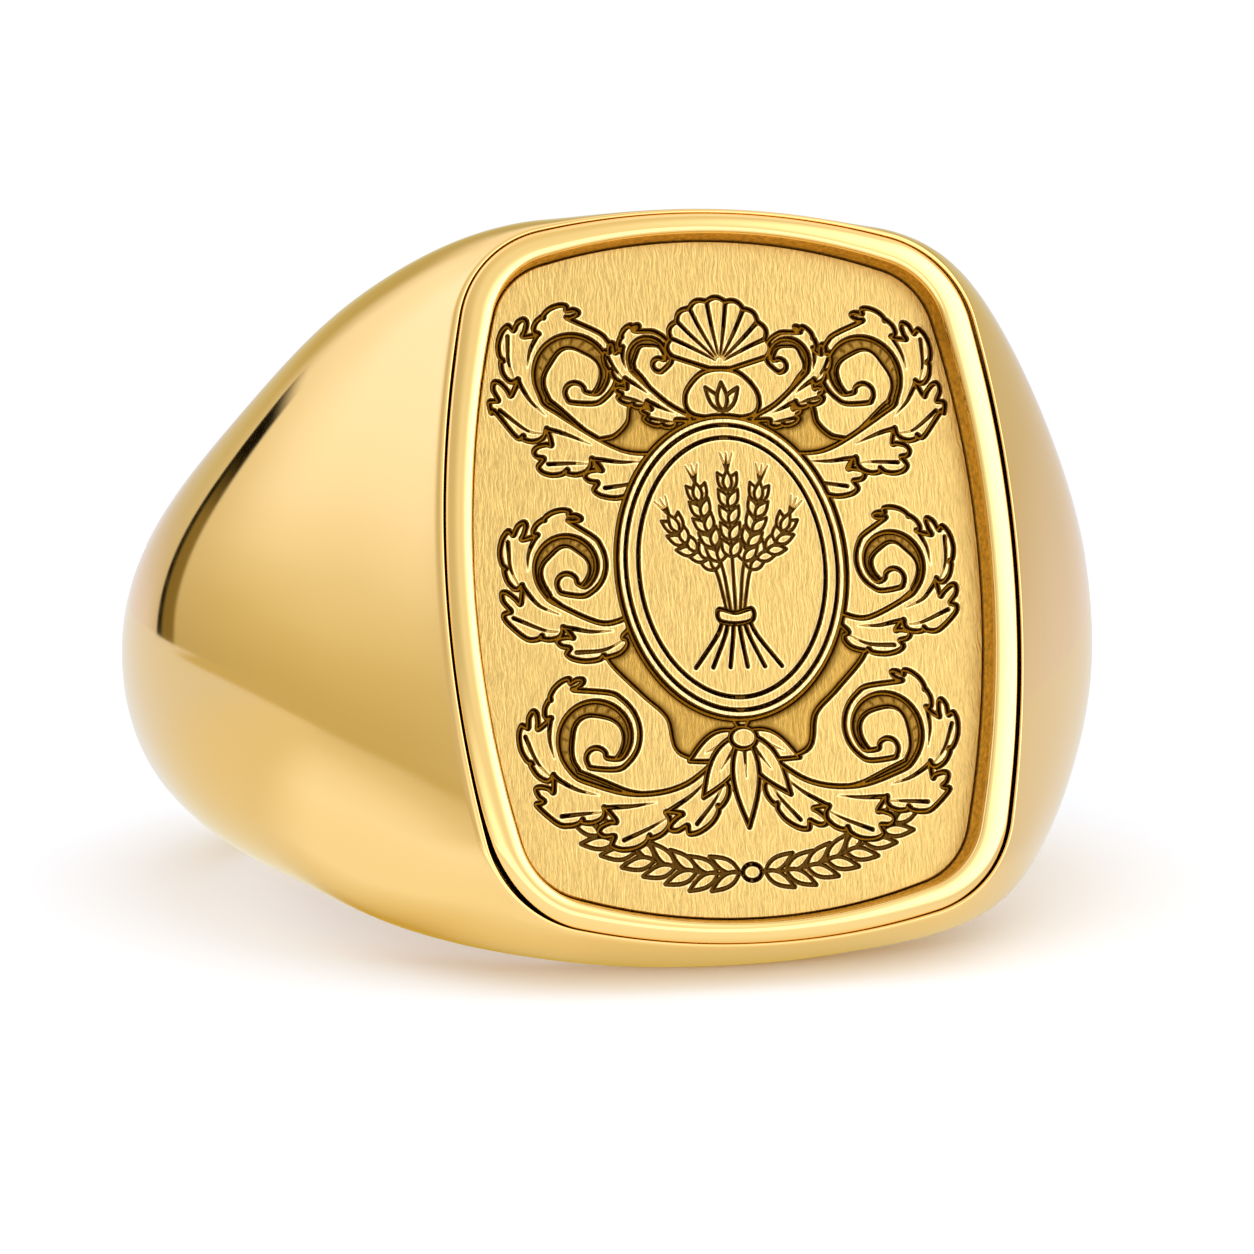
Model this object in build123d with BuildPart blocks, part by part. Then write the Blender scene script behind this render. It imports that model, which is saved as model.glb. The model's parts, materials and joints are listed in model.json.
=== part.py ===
from build123d import *

import os
from math import cos, copysign, radians, sin

# Signet ring in millimetres, lying as it rests on a table: on the lower edge of its head and the
# lower edge at the back of its band, so the finger hole leans back. The origin is the centre of
# the finger hole, +Z is up, -Y is towards the side that the engraved face looks to.
# The head holds a stepped seat. The engraved plate drops into the deep step, the bezel frame
# sits on the shallow step round it, and a thin film of solder under each holds it.

# Finger hole and rest
hole_radius = 9.9
hole_cutter_length = 30.0
lean = 15.05

# Distance from the centre of the finger hole to the front edge of the head
face_distance = 12.75

# Outlines on the face: half width and half height of each cushion shape
rim_half = (6.88, 8.5)
opening_half = (6.35, 8.1)
plate_half = (6.18, 7.96)
corner_inset = (1.04, 0.98)
rim_corner_radius = 2.6
opening_corner_radius = 1.9
plate_corner_radius = 1.75
seat_gap = 0.04

# Depths below the front edge of the head, and thicknesses
frame_crest = 0.12
frame_outer_round = 0.24
frame_inner_round = 0.14
frame_seat_depth = 0.75
plate_depth = 0.43
plate_thickness = 0.9
solder_thickness = 0.05
plate_seat_depth = plate_depth + plate_thickness + solder_thickness

# Stations round the ring from the middle of the face to the middle of the back: angle in degrees,
# outer radius at mid height, half height, and how square the section is in height and in radius
# (2 is an ellipse, more is squarer). The head runs on past the face plane, which cuts it flat.
stations = [
    (0, 16.4, 9.0, 4.1, 2.5),
    (14, 15.6, 8.88, 4.1, 3.1),
    (26, 14.66, 8.53, 3.4, 5.0),
    (38, 14.0, 7.98, 2.45, 4.5),
    (52, 13.62, 7.12, 2.2, 2.75),
    (68, 13.35, 5.95, 2.15, 1.9),
    (88, 12.93, 5.2, 2.05, 1.7),
    (118, 12.8, 4.75, 2.2, 2.1),
    (150, 12.2, 4.1, 2.15, 2.2),
    (180, 11.88, 3.6, 2.1, 2.2),
]
section_base_radius = 9.2
section_points = 17

# Working planes. ring has the finger hole's axis as its z, and face looks out of the head.
ring = Plane(origin=(0, 0, 0), x_dir=(1, 0, 0), z_dir=(0, sin(radians(lean)), cos(radians(lean))))
face = Plane(origin=ring.y_dir * -face_distance, x_dir=(1, 0, 0), z_dir=ring.y_dir * -1)


def station_plane(angle):
    """Plane through the finger hole's axis, with x running outwards and y along the axis."""
    outwards = ring.x_dir * sin(radians(angle)) - ring.y_dir * cos(radians(angle))
    return Plane(origin=(0, 0, 0), x_dir=outwards, z_dir=outwards.cross(ring.z_dir))


def section_point(polar, outer_radius, half_height, height_power, radius_power):
    """Point of a section curve at an angle seen from the middle of its base."""
    across = cos(radians(polar))
    along = abs(sin(radians(polar)))
    near, far = 0.0, 2.0
    for _ in range(40):
        reach = (near + far) / 2
        inside = (reach * across) ** radius_power + (reach * along) ** height_power < 1
        near, far = (reach, far) if inside else (near, reach)
    radius = section_base_radius + (outer_radius - section_base_radius) * near * across
    return radius, copysign(half_height * near * along, polar)


def cushion(half, corner_radius):
    """Sketch of a rectangle with bowed sides and rounded corners."""
    corner_x = half[0] - corner_inset[0]
    corner_y = half[1] - corner_inset[1]
    with BuildSketch() as outline:
        with BuildLine():
            ThreePointArc((corner_x, -corner_y), (half[0], 0), (corner_x, corner_y))
            ThreePointArc((corner_x, corner_y), (0, half[1]), (-corner_x, corner_y))
            ThreePointArc((-corner_x, corner_y), (-half[0], 0), (-corner_x, -corner_y))
            ThreePointArc((-corner_x, -corner_y), (0, -half[1]), (corner_x, -corner_y))
        make_face()
        fillet(outline.vertices(), corner_radius)
    return outline.sketch


def grown(half, gap):
    """Half sizes of an outline that stands off another by a gap."""
    return half[0] + gap, half[1] + gap


rim_outline = cushion(rim_half, rim_corner_radius)
opening_outline = cushion(opening_half, opening_corner_radius)
plate_outline = cushion(plate_half, plate_corner_radius)
frame_seat_outline = cushion(grown(rim_half, seat_gap), rim_corner_radius)
plate_seat_outline = cushion(grown(plate_half, seat_gap), plate_corner_radius)

# Body of the ring: one casting with the band, the shoulders and the head.
# It is lofted round one side, a little past the middle at both ends, trimmed there and mirrored.
before_first = (-stations[1][0], *stations[1][1:])
after_last = (360 - stations[-2][0], *stations[-2][1:])
with BuildPart() as shank_body:
    for angle, *shape in [before_first, *stations, after_last]:
        with BuildSketch(station_plane(angle)):
            with BuildLine():
                steps = [180 * (i / (section_points - 1)) - 90 for i in range(section_points)]
                skin = Spline([section_point(p, *shape) for p in steps], tangents=[(1, 0), (-1, 0)])
                Line(skin @ 1, skin @ 0)
            make_face()
    loft()
    split(bisect_by=Plane(ring.origin, x_dir=ring.y_dir, z_dir=ring.x_dir), keep=Keep.TOP)
    mirror(about=Plane(ring.origin, x_dir=ring.y_dir, z_dir=ring.x_dir))
    split(bisect_by=face, keep=Keep.BOTTOM)
    with BuildSketch(ring):
        Circle(hole_radius)
    extrude(amount=hole_cutter_length / 2, both=True, mode=Mode.SUBTRACT)
    with BuildSketch(face):
        add(frame_seat_outline)
    extrude(amount=-frame_seat_depth, mode=Mode.SUBTRACT)
    with BuildSketch(face):
        add(plate_seat_outline)
    extrude(amount=-plate_seat_depth, mode=Mode.SUBTRACT)
shank_body.part.label = "shank_body"

# Films of solder, one under the frame and one under the plate, each lying on the floor of its step
with BuildPart() as frame_solder:
    with BuildSketch(face.offset(-frame_seat_depth)):
        add(rim_outline)
        add(plate_seat_outline, mode=Mode.SUBTRACT)
    extrude(amount=solder_thickness)
frame_solder.part.label = "frame_solder"

with BuildPart() as plate_solder:
    with BuildSketch(face.offset(-plate_seat_depth)):
        add(plate_outline)
    extrude(amount=solder_thickness)
plate_solder.part.label = "plate_solder"

# Bezel frame: a closed moulding with a rounded crest that stands round the plate
frame_height = frame_seat_depth - solder_thickness + frame_crest
with BuildPart() as bezel_frame:
    with BuildSketch(face.offset(solder_thickness - frame_seat_depth)):
        add(rim_outline)
        add(opening_outline, mode=Mode.SUBTRACT)
    extrude(amount=frame_height)
    crest = faces().sort_by(Axis(face.origin, face.z_dir))[-1]
    fillet(crest.outer_wire().edges(), frame_outer_round)
    crest = faces().filter_by(GeomType.PLANE).sort_by(Axis(face.origin, face.z_dir))[-1]
    fillet(crest.inner_wires()[0].edges(), frame_inner_round)
bezel_frame.part.label = "bezel_frame"

# Engraved plate: a flat cushion-shaped plate in the deep step
with BuildPart() as face_plate:
    with BuildSketch(face.offset(-plate_depth)):
        add(plate_outline)
    extrude(amount=-plate_thickness)
face_plate.part.label = "face_plate"

os.makedirs("parts", exist_ok=True)
for piece in (shank_body, frame_solder, plate_solder, bezel_frame, face_plate):
    export_step(piece.part, f"parts/{piece.part.label}.step")
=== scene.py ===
import json
from math import atan2, comb, cos, hypot, pi, radians, sin

import bpy
import numpy as np
from mathutils import Matrix, Vector
from mathutils.geometry import delaunay_2d_cdt


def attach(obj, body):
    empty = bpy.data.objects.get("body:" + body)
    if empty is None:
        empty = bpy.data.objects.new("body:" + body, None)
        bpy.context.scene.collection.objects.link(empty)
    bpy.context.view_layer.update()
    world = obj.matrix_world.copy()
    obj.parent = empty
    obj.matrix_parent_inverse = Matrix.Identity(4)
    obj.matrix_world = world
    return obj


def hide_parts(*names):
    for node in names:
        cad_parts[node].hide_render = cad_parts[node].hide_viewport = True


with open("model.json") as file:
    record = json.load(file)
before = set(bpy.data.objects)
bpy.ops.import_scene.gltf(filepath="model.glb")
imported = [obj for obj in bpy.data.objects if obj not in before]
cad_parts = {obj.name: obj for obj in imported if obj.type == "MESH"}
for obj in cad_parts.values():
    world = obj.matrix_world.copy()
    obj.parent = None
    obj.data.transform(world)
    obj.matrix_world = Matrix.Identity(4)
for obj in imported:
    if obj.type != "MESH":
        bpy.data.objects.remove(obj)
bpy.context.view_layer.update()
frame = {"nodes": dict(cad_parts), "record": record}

# ---------------------------------------------------------------------------------------------
# Shank body: band, swept shoulders and head in one casting of yellow gold, polished outside and
# in the finger hole. A stepped seat is cut into the head, with a rounded lip round its mouth.
# ---------------------------------------------------------------------------------------------

MM = 0.001  # metres in a millimetre

# The ring's own axes: x across the face, y towards the back of the band, z along the finger hole
bore = frame["record"]["mounts"][0]
hole_radius = bore["dims"]["r_mm"]
upwards = Vector(bore["axis"]).normalized()
across = Vector((1, 0, 0))
backwards = upwards.cross(across)
ring_axes = np.array([across, backwards, upwards])


def reach(node, direction):
    """Furthest distance of a CAD node from the origin in one direction, in millimetres."""
    return max(vertex.co.dot(direction) for vertex in frame["nodes"][node].data.vertices) / MM


# The head's front edge lies at face_distance, and heights and depths of the face count from there. The
# rim is the outside of the frame, whose crest stands a little in front of the edge.
frame_crest = 0.12
face_distance = reach("bezel_frame", -backwards) - frame_crest
rim_half = (reach("bezel_frame", across), reach("bezel_frame", upwards))
plate_half = (reach("face_plate", across), reach("face_plate", upwards))
plate_depth = face_distance - reach("face_plate", -backwards)
rim_corner_radius = 2.6
plate_corner_radius = 1.75
corner_inset = (1.04, 0.98)
seat_gap = 0.04
frame_seat_depth = 0.75
plate_seat_depth = 1.38
# Width and rounding of the lip round the seat's mouth: on the left side, between and on the right
lip_widths = (0.08, 0.08, 0.03)
lip_rounds = (0.17, 0.1, 0.03)
lip_depth = 0.06

# Stations round the ring from the middle of the face to the middle of the back: angle in degrees,
# outer radius at mid height, half height, and how square the section is in height and in radius
stations = np.array([
    (0, 16.4, 9.0, 4.1, 2.5),
    (14, 15.6, 8.88, 4.1, 3.1),
    (26, 14.66, 8.53, 3.4, 5.0),
    (38, 14.0, 7.98, 2.45, 4.5),
    (52, 13.62, 7.12, 2.2, 2.75),
    (68, 13.35, 5.95, 2.15, 1.9),
    (88, 12.93, 5.2, 2.05, 1.7),
    (118, 12.8, 4.75, 2.2, 2.1),
    (150, 12.2, 4.1, 2.15, 2.2),
    (180, 11.88, 3.6, 2.1, 2.2),
])
# Share by which the lower side is taller than the upper side, at angles round the ring: a little
# fuller where the shoulders run into the band, and slimmer behind that
lower_fullness = np.array([
    (0, 0), (30, 0), (50, 0), (60, 0.012), (70, 0.045), (80, 0.06), (90, 0.034), (100, -0.014),
    (112, -0.024), (126, -0.008), (150, 0), (180, 0),
])
section_base_radius = 9.2
hole_edge_round = 0.4

# Rows of quads: up half of the face's side, over half of its corner, and on to the finger hole;
# columns across half the top of the face, and on to the middle of the back
side_rows, corner_rows, end_rows = 60, 14, 18
top_columns, back_columns = 44, 112
# Rows of quads round the hole's edge, down the hole and over the lip
edge_rows, hole_rows, lip_rows = 7, 24, 6
# Share of the way up the back of the band that the face's own rows take, how much closer the
# columns stand at the head than at the back, and how smoothly the rows change from one to the other
side_part, crowding, smoothness = 0.78, 0.45, 0.6


def closed_spline(angles, values):
    """Smooth curve through values at angles from 0 to pi, mirrored to the other half turn."""
    knots = np.concatenate([angles, 2 * pi - angles[-2:0:-1]])
    heights = np.concatenate([values, values[-2:0:-1]])
    count = len(knots)
    gaps = np.append(np.diff(knots), 2 * pi - knots[-1])
    rises = (np.roll(heights, -1) - heights) / gaps
    system = np.zeros((count, count))
    for i in range(count):
        system[i, i - 1] += gaps[i - 1]
        system[i, i] += 2 * (gaps[i - 1] + gaps[i])
        system[i, (i + 1) % count] += gaps[i]
    bends = np.linalg.solve(system, 6 * (rises - np.roll(rises, 1)))

    def value(angle):
        angle = np.mod(angle, 2 * pi)
        i = np.clip(np.searchsorted(knots, angle, side="right") - 1, 0, count - 1)
        gap, step = gaps[i], angle - knots[i]
        left, right = bends[i], bends[(i + 1) % count]
        slope = rises[i] - gap * (2 * left + right) / 6
        return heights[i] + step * (slope + step * (left / 2 + step * (right - left) / (6 * gap)))

    return value


outer_radius, half_height, height_power, radius_power = (
    closed_spline(np.radians(stations[:, 0]), stations[:, column]) for column in range(1, 5)
)


def swept_section(angle, polar):
    """Radius and height of the section at an angle round the ring, at a polar angle in it."""
    outwards, onwards = np.cos(polar), np.sin(polar)
    powers = radius_power(angle), height_power(angle)
    near, far = np.zeros_like(outwards), np.full_like(outwards, 2.0)
    for _ in range(44):
        middle = (near + far) / 2
        inside = (middle * outwards) ** powers[0] + (middle * onwards) ** powers[1] < 1
        near, far = np.where(inside, middle, near), np.where(inside, far, middle)
    lift = outer_radius(angle) - section_base_radius
    return section_base_radius + lift * near * outwards, half_height(angle) * near * onwards


def rounding(angle, polar):
    """Centre of the hole edge's rounding if it touched the section at that polar angle."""
    step = 1e-4
    ahead, behind = swept_section(angle, polar + step), swept_section(angle, polar - step)
    run = np.array(ahead) - np.array(behind)
    run /= np.hypot(*run)
    radius, height = swept_section(angle, polar)
    return radius - hole_edge_round * run[1], height + hole_edge_round * run[0]


def edge_polar(angle):
    """Polar angle where the section runs into the rounded edge of the finger hole."""
    near, far = np.full_like(angle, 0.8), np.full_like(angle, pi / 2 - 0.001)
    for _ in range(40):
        middle = (near + far) / 2
        clear = rounding(angle, middle)[0] > hole_radius + hole_edge_round
        near, far = np.where(clear, middle, near), np.where(clear, far, middle)
    return near


edge_angles = np.radians(np.arange(0, 181, 3))
last_polar = closed_spline(edge_angles, edge_polar(edge_angles))


def cushion_quarter(half, corner_radius, rows):
    """Quarter of a cushion outline, from the middle of its side to the middle of its top.

    Gives points and outward normals. rows are counted along the side, half the corner and the top.
    """
    corner = half[0] - corner_inset[0], half[1] - corner_inset[1]
    side_radius = (corner[1] ** 2 + corner_inset[0] ** 2) / (2 * corner_inset[0])
    top_radius = (corner[0] ** 2 + corner_inset[1] ** 2) / (2 * corner_inset[1])
    side_centre = np.array([half[0] - side_radius, 0.0])
    top_centre = np.array([0.0, half[1] - top_radius])
    reach_side, reach_top = side_radius - corner_radius, top_radius - corner_radius
    apart = hypot(*(top_centre - side_centre))
    forward = (top_centre - side_centre) / apart
    first = (apart**2 + reach_side**2 - reach_top**2) / (2 * apart)
    sideways = np.array([forward[1], -forward[0]]) * np.sqrt(reach_side**2 - first**2)
    both = (side_centre + forward * first + sideways, side_centre + forward * first - sideways)
    corner_centre = max(both, key=sum)
    side_end = atan2(*(corner_centre - side_centre)[::-1])
    top_start = atan2(*(corner_centre - top_centre)[::-1])
    side_count, corner_count, top_count = rows
    pieces = [
        (side_centre, side_radius, np.linspace(0, side_end, side_count + 1)[:-1]),
        (corner_centre, corner_radius, np.linspace(side_end, top_start, 2 * corner_count + 1)),
        (top_centre, top_radius, np.linspace(top_start, pi / 2, top_count + 1)[1:]),
    ]
    turns = np.concatenate([turn for _, _, turn in pieces])
    normals = np.column_stack([np.cos(turns), np.sin(turns)])
    points = np.vstack([
        centre + radius * np.column_stack([np.cos(turn), np.sin(turn)])
        for centre, radius, turn in pieces
    ])
    return points, normals


def all_round(quarter):
    """Closed loop from a quarter of an outline, starting at the middle of its right side."""
    up, down = quarter[:-1], quarter[:0:-1]
    return np.vstack([up, down * (-1, 1), up * (-1, -1), down * (1, -1)])


def on_face(outline, height):
    """Points of the ring's axes that stand a height in front of the head's front edge."""
    height = np.broadcast_to(height, len(outline))
    return np.column_stack([outline[:, 0], -face_distance - height, outline[:, 1]])


def make_piece(name, points, faces, sharp_angle):
    """Smooth mesh object from points in the ring's axes, in millimetres."""
    mesh = bpy.data.meshes.new(name)
    mesh.from_pydata((np.asarray(points) @ ring_axes * MM).tolist(), [], faces)
    mesh.validate()
    mesh.shade_smooth()
    mesh.set_sharp_from_angle(angle=radians(sharp_angle))
    piece = bpy.data.objects.new(name, mesh)
    bpy.context.scene.collection.objects.link(piece)
    return piece


def strip(first, second):
    """Quads between two closed loops of vertex numbers."""
    following = zip(np.roll(first, -1), np.roll(second, -1))
    return [(a, c, d, b) for (a, b), (c, d) in zip(zip(first, second), following)]


def bezier(points, count):
    """Places along a Bezier curve, after its first one. Each point may also be a whole loop of points."""
    degree = len(points) - 1
    t = np.linspace(0, 1, count + 1)[1:]
    shares = [comb(degree, i) * (1 - t) ** (degree - i) * t**i for i in range(degree + 1)]
    return sum(np.multiply.outer(share, point) for share, point in zip(shares, points))


rim_rows = (side_rows, corner_rows, top_columns)
block_rows, block_columns = side_rows + corner_rows, corner_rows + top_columns
last_row, last_column = block_rows + end_rows, block_columns + back_columns
lip = seat_gap + max(lip_widths)
mouth, mouth_normals = cushion_quarter(np.add(rim_half, lip), rim_corner_radius + lip, rim_rows)

# Where the mouth's outline lies on the swept surface: angle round the ring, and share of the
# section's polar angle up to the finger hole's edge
mouth_angle = np.arctan2(mouth[:, 0], face_distance)
mouth_radius = np.hypot(mouth[:, 0], face_distance)
mouth_polar = np.arctan2(
    mouth[:, 1] / half_height(mouth_angle),
    (mouth_radius - section_base_radius) / (outer_radius(mouth_angle) - section_base_radius),
)
mouth_share = mouth_polar / last_polar(mouth_angle)

# One quarter of the swept surface as a grid that leaves out the face: columns run from the middle
# of the face to the middle of the back, rows from mid height to the finger hole's edge.
column, row = np.meshgrid(np.arange(last_column + 1), np.arange(last_row + 1), indexing="ij")
back = np.clip((column - block_columns) / back_columns, 0, 1)
back = (1 - crowding) * back + crowding * back**2
end = np.clip((row - block_rows) / end_rows, 0, 1)
on_mouth = np.where(
    column < block_columns, block_rows + block_columns - column, np.minimum(row, block_rows)
)
corner_angle = mouth_angle[block_rows]
end_angle = corner_angle * np.minimum(column / block_columns, 1)
head_angle = mouth_angle[on_mouth] + (end_angle - mouth_angle[on_mouth]) * end
head_share = mouth_share[on_mouth] + (1 - mouth_share[on_mouth]) * end
band_share = np.where(row < block_rows, side_part * row / block_rows, side_part + (1 - side_part) * end)
ease = back**2 * (3 - 2 * back) * smoothness + back * (1 - smoothness)
angle = head_angle + (pi - head_angle) * back
polar_share = head_share + (band_share - head_share) * ease
radius, height = swept_section(angle, polar_share * last_polar(angle))
skin = np.stack([radius * np.sin(angle), -radius * np.cos(angle), height], axis=-1)

# The swept surface is eased on to the mouth's outline over a few millimetres round it.
ease_distance = 3.5
radius, height = swept_section(mouth_angle, mouth_polar)
under_mouth = np.column_stack([radius * np.sin(mouth_angle), -radius * np.cos(mouth_angle), height])
mouth_offset = on_face(mouth, 0) - under_mouth
from_mouth = np.linalg.norm(skin - under_mouth[on_mouth], axis=-1)
fade = np.clip(1 - from_mouth / ease_distance, 0, 1)
skin += mouth_offset[on_mouth] * (fade**2 * (3 - 2 * fade))[..., None]

# The last rows round the finger hole's edge and run down the hole.
edge_angle = angle[:, -1]
edge_start = swept_section(edge_angle, last_polar(edge_angle))
middle_radius, middle_height = rounding(edge_angle, last_polar(edge_angle))
tilt = np.arctan2(edge_start[1] - middle_height, edge_start[0] - middle_radius)[:, None]
turn = tilt + (pi - tilt) * np.linspace(0, 1, edge_rows + 1)[1:]
edge_radius = middle_radius[:, None] + hole_edge_round * np.cos(turn)
edge_height = middle_height[:, None] + hole_edge_round * np.sin(turn)
down = edge_height[:, -1:] * np.linspace(1, -1, hole_rows + 1)[1:-1]
edge_radius = np.hstack([edge_radius, np.full_like(down, hole_radius), edge_radius[:, ::-1]])
edge_height = np.hstack([edge_height, down, -edge_height[:, ::-1]])
edge_angle = edge_angle[:, None]
hole = np.stack(
    [edge_radius * np.sin(edge_angle), -edge_radius * np.cos(edge_angle), edge_height], axis=-1
)

# The quarter is mirrored downwards, and then to the left.
right_half = np.concatenate([skin[:, :0:-1] * (1, 1, -1), skin, hole], axis=1)
fullness = closed_spline(np.radians(lower_fullness[:, 0]), lower_fullness[:, 1])(angle[:, 0])
right_half[..., 2] *= 1 + np.where(right_half[..., 2] < 0, fullness[:, None], 0)
whole = np.concatenate([right_half[-2:0:-1] * (-1, 1, 1), right_half])
column_count, row_count = whole.shape[:2]


def number(columns, rows):
    """Vertex numbers in the whole grid, where both count from the middle of the face."""
    return (columns + last_column - 1) % column_count * row_count + (rows + last_row) % row_count


# The grid's own quads, all but those where the face is
column, row = np.meshgrid(
    np.arange(1 - last_column, last_column + 1), np.arange(-last_row, row_count - last_row), indexing="ij"
)
in_columns = (column >= -block_columns) & (column < block_columns)
in_face = in_columns & (row >= -block_rows) & (row < block_rows)
column, row = column[~in_face], row[~in_face]
body_faces = np.column_stack([
    number(column, row), number(column + 1, row), number(column + 1, row + 1), number(column, row + 1),
]).tolist()

# The mouth's own vertices move back from the outline, and a rounded lip leads over it into the seat.
mouth_steps = np.arange(block_rows + block_columns + 1)
mouth_places = np.column_stack([
    np.minimum(block_columns, block_rows + block_columns - mouth_steps), np.minimum(mouth_steps, block_rows)
])
outside_places = mouth_places + np.column_stack([mouth_steps <= block_rows, mouth_steps >= block_rows])
mouth_loop = number(*all_round(mouth_places).T)
body_points = whole.reshape(-1, 3)
crest = body_points[mouth_loop].copy()
outside = body_points[number(*all_round(outside_places).T)] - crest
tangent = np.roll(crest, -1, axis=0) - np.roll(crest, 1, axis=0)
tangent /= np.linalg.norm(tangent, axis=1, keepdims=True)
outside -= (outside * tangent).sum(axis=1, keepdims=True) * tangent
outside /= np.linalg.norm(outside, axis=1, keepdims=True)
outline = all_round(mouth)
lip_round = np.interp(outline[:, 0], (-rim_half[0], 0, rim_half[0]), lip_rounds)
lip_width = np.interp(outline[:, 0], (-rim_half[0], 0.7 * rim_half[0], rim_half[0]), lip_widths)
body_points[mouth_loop] = crest + lip_round[:, None] * outside
seat_wall = outline - lip_width[:, None] * all_round(mouth_normals)
plate_seat = all_round(cushion_quarter(np.add(plate_half, seat_gap), plate_corner_radius, rim_rows)[0])
lip_curve = [body_points[mouth_loop], crest, on_face(seat_wall, 0), on_face(seat_wall, -lip_depth)]
loops = [
    *bezier(lip_curve, lip_rows),
    on_face(seat_wall, -frame_seat_depth),
    on_face(plate_seat, -frame_seat_depth),
    on_face(plate_seat, -plate_seat_depth),
    on_face(plate_seat / 2, -plate_seat_depth),
]
previous, seat_faces = mouth_loop, len(body_faces)
for loop in loops:
    following = len(body_points) + np.arange(len(loop))
    body_points = np.vstack([body_points, loop])
    body_faces += strip(previous, following)
    previous = following
body_faces += [(a, b, len(body_points)) for a, b in zip(previous, np.roll(previous, -1))]
body_points = np.vstack([body_points, on_face(np.zeros((1, 2)), -plate_seat_depth)])
seat_faces += lip_rows * len(mouth_loop)

# The grid's vertices in the face belong to no quad and are left out.
used = np.unique(np.concatenate(body_faces))
renumber = np.full(len(body_points), -1)
renumber[used] = np.arange(len(used))
body_faces = [tuple(renumber[list(face)]) for face in body_faces]
shank_body = make_piece("shank_body_skin", body_points[used], body_faces, 50)


def node_group(name, inputs, outputs):
    """Empty shader node group with named inputs and outputs, each a name, a type and a value."""
    group = bpy.data.node_groups.new(name, "ShaderNodeTree")
    for label, kind, value in inputs:
        socket = group.interface.new_socket(name=label, in_out="INPUT", socket_type="NodeSocket" + kind)
        socket.default_value = value
    for label, kind in outputs:
        group.interface.new_socket(name=label, in_out="OUTPUT", socket_type="NodeSocket" + kind)
    return group


def add_node(tree, kind, inputs=None, **settings):
    """Node with settings, and inputs that are values or other nodes' outputs."""
    node = tree.nodes.new(kind)
    for key, value in settings.items():
        setattr(node, key, value)
    for key, value in (inputs or {}).items():
        if isinstance(value, bpy.types.NodeSocket):
            tree.links.new(value, node.inputs[key])
        else:
            node.inputs[key].default_value = value
    return node


def calculate(tree, operation, *values):
    """Output of a math node on numbers or other nodes' outputs."""
    return add_node(tree, "ShaderNodeMath", dict(enumerate(values)), operation=operation).outputs[0]


def product(tree, first, *others):
    """Product of shares or other nodes' outputs."""
    for other in others:
        first = calculate(tree, "MULTIPLY", first, other)
    return first


def toned(tree, colour, strength):
    """A node's colour times a strength."""
    return add_node(
        tree, "ShaderNodeVectorMath", {0: colour, "Scale": strength}, operation="SCALE"
    ).outputs[0]


def object_place(tree):
    """The shaded place in the piece's own coordinates, in metres."""
    return add_node(tree, "ShaderNodeTexCoord").outputs["Object"]


def distance_along(tree, place, direction):
    """Distance of a place from the origin in one direction, in millimetres."""
    node = add_node(
        tree, "ShaderNodeVectorMath", {0: place, 1: tuple(direction)}, operation="DOT_PRODUCT"
    )
    return calculate(tree, "DIVIDE", node.outputs["Value"], MM)


def smooth_rise(tree, value, low, high):
    """Smooth rise from 0 at low to 1 at high, or a fall where high is the smaller."""
    return add_node(
        tree, "ShaderNodeMapRange", {"Value": value, "From Min": low, "From Max": high},
        interpolation_type="SMOOTHSTEP",
    ).outputs[0]


def blend(tree, share, first, second):
    """The first colour at share 0 and the second at share 1: red, green and blue, or a node's output."""
    first, second = (
        (*colour, 1) if isinstance(colour, tuple) else colour for colour in (first, second)
    )
    return add_node(
        tree, "ShaderNodeMix", {"Factor": share, "A": first, "B": second}, data_type="RGBA"
    ).outputs["Result"]


def metal(name):
    """New metal material. Gives it with its node tree and its Principled BSDF."""
    material = bpy.data.materials.new(name)
    material.use_nodes = True
    shader = material.node_tree.nodes["Principled BSDF"]
    shader.inputs["Metallic"].default_value = 1.0
    return material, material.node_tree, shader


def polish_group():
    """Hand-polished gold: slow drifts of tone and gloss, and hairlines that catch the light."""
    group = node_group(
        "hand_polish",
        [
            ("Colour", "Color", (0.88, 0.6, 0.26, 1)),
            ("Drift", "Float", 0.03),
            ("Gloss", "Float", 0.08),
            ("Hairlines", "Float", 0.02),
        ],
        [("Colour", "Color"), ("Roughness", "Float"), ("Height", "Float")],
    )
    start, end = group.nodes.new("NodeGroupInput"), group.nodes.new("NodeGroupOutput")
    place = object_place(group)
    slow = add_node(group, "ShaderNodeTexNoise", {"Vector": place, "Scale": 260.0, "Detail": 3.0})
    fine = add_node(group, "ShaderNodeTexNoise", {"Vector": place, "Scale": 2600.0, "Detail": 4.0})
    stretched = add_node(group, "ShaderNodeMapping", {"Vector": place, "Scale": (5200.0, 5200.0, 420.0)})
    lines = add_node(
        group, "ShaderNodeTexNoise", {"Vector": stretched.outputs[0], "Scale": 1.0, "Detail": 3.0}
    )
    swing = product(
        group, calculate(group, "SUBTRACT", slow.outputs["Fac"], 0.5), start.outputs["Drift"]
    )
    drifted = toned(group, start.outputs["Colour"], calculate(group, "ADD", swing, 1.0))
    wear = add_node(
        group, "ShaderNodeMapRange",
        {"Value": fine.outputs["Fac"], "From Min": 0.3, "From Max": 0.7, "To Min": 0.85, "To Max": 1.2},
    )
    group.links.new(drifted, end.inputs["Colour"])
    group.links.new(product(group, wear.outputs[0], start.outputs["Gloss"]), end.inputs["Roughness"])
    group.links.new(product(group, lines.outputs["Fac"], start.outputs["Hairlines"]), end.inputs["Height"])
    return group


hand_polish = polish_group()


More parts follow.
